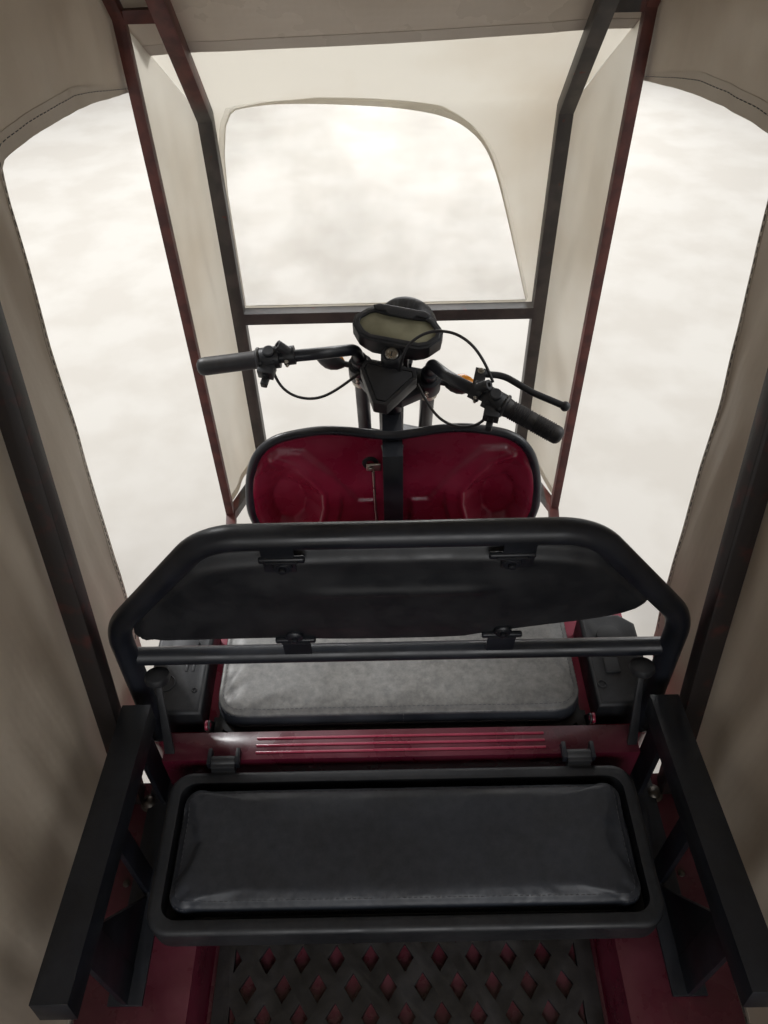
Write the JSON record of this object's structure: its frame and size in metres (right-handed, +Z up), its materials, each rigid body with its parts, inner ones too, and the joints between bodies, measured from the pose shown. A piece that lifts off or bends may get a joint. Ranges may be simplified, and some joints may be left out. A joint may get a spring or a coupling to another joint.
{
  "type": "electric three-wheeled auto rickshaw",
  "caption": "Electric three-wheeler with a steered front wheel, driver seat, open rear tub with a folding bench and tailgate, and a canvas canopy on a tube frame.",
  "frame": {"origin": "on the ground under the middle of the vehicle", "axes": "+Z up, +Y forward along the vehicle, +X to the driver's right"},
  "size_m": [0.92, 2.275, 1.8939],
  "materials": {
    "maroon_moulding": "gloss moulded plastic, dusty",
    "black_plastic": "satin moulded plastic",
    "black_paint": "satin powder coat",
    "grey_paint": "brushed-on dark grey paint",
    "primer_paint": "dull red-brown primer",
    "canvas": "coated canvas, soft sheen",
    "clear_film": "clear flexible film",
    "seat_vinyl": "grained vinyl",
    "rubber": "moulded rubber",
    "tyre_rubber": "road tyre",
    "bare_steel": "zinc plated steel",
    "cast_alloy": "cast, painted silver",
    "battery_case": "moulded case",
    "clear_lens": "clear moulded lens",
    "amber_lens": "amber moulded lens",
    "red_lens": "red moulded lens",
    "screen_glass": "dark olive display window"
  },
  "bodies": {
    "root": {"chassis_frame": "black_paint", "leaf_springs": "black_paint", "rear_axle": "black_paint", "drive_motor": "cast_alloy", "floorboard": "black_plastic", "battery_block": "battery_case", "seat_box": "maroon_moulding", "backrest_frame": "black_paint", "backrest_pad": "black_plastic", "side_consoles": "black_plastic", "leg_shield": "maroon_moulding", "shield_trim": "rubber", "rear_tub": "maroon_moulding", "tub_mat": "rubber", "armrest_rails": "black_paint", "bench_brackets": "black_paint", "rear_bumper": "black_paint", "tail_lamps": "red_lens", "canopy_side_frames": "primer_paint", "roof_bows": "grey_paint", "canopy_front_frame": "grey_paint", "canopy_roof": "canvas", "windscreen_cloth": "canvas", "windscreen_film": "clear_film", "canopy_side_left": "canvas", "canopy_side_right": "canvas", "quarter_panels": "canvas", "rear_valance": "canvas"},
    "steering": {"fork": "black_paint", "front_mudguard": "black_plastic", "handlebar": "black_paint", "hand_grips": "rubber", "hand_controls": "black_plastic", "instrument_pod": "black_plastic", "instrument_screen": "screen_glass", "stem_cover": "black_plastic", "headlamp": "black_plastic", "headlamp_lens": "clear_lens", "turn_signals": "black_plastic", "turn_lenses": "amber_lens", "control_cables": "rubber"},
    "front_wheel": {"front_tyre": "tyre_rubber", "front_rim": "cast_alloy"},
    "rear_wheel_left": {"rear_tyre_left": "tyre_rubber", "rear_rim_left": "cast_alloy"},
    "rear_wheel_right": {"rear_tyre_right": "tyre_rubber", "rear_rim_right": "cast_alloy"},
    "driver_seat": {"seat_pan": "black_plastic", "seat_cushion": "seat_vinyl"},
    "bench": {"bench_tray": "black_plastic", "bench_cushion": "seat_vinyl"},
    "tailgate": {"tailgate": "maroon_moulding"}
  },
  "joints": [
    {"name": "steering_turn", "type": "hinge", "parent": "root", "child": "steering", "pos_m": [0, 0.59997, 0.90375], "axis": [0, -0.3746, 0.9272], "range_deg": [-21, 49]},
    {"name": "front_wheel_spin", "type": "hinge", "parent": "steering", "child": "front_wheel", "pos_m": [0.00726, 0.89967, 0.23967], "axis": [0.9703, -0.2243, -0.0906], "continuous": true},
    {"name": "rear_wheel_left_spin", "type": "hinge", "parent": "root", "child": "rear_wheel_left", "pos_m": [-0.385, -0.6695, 0.24], "axis": [1, 0, 0], "continuous": true},
    {"name": "rear_wheel_right_spin", "type": "hinge", "parent": "root", "child": "rear_wheel_right", "pos_m": [0.385, -0.6695, 0.24], "axis": [1, 0, 0], "continuous": true},
    {"name": "driver_seat_lift", "type": "hinge", "parent": "root", "child": "driver_seat", "pos_m": [0, -0.0305, 0.7], "axis": [1, 0, 0], "range_deg": [0, 45]},
    {"name": "bench_fold", "type": "hinge", "parent": "root", "child": "bench", "pos_m": [0, -0.0965, 0.707], "axis": [-1, 0, 0], "range_deg": [0, 85]},
    {"name": "tailgate_drop", "type": "hinge", "parent": "root", "child": "tailgate", "pos_m": [0, -1.1005, 0.443], "axis": [1, 0, 0], "range_deg": [0, 90]}
  ]
}
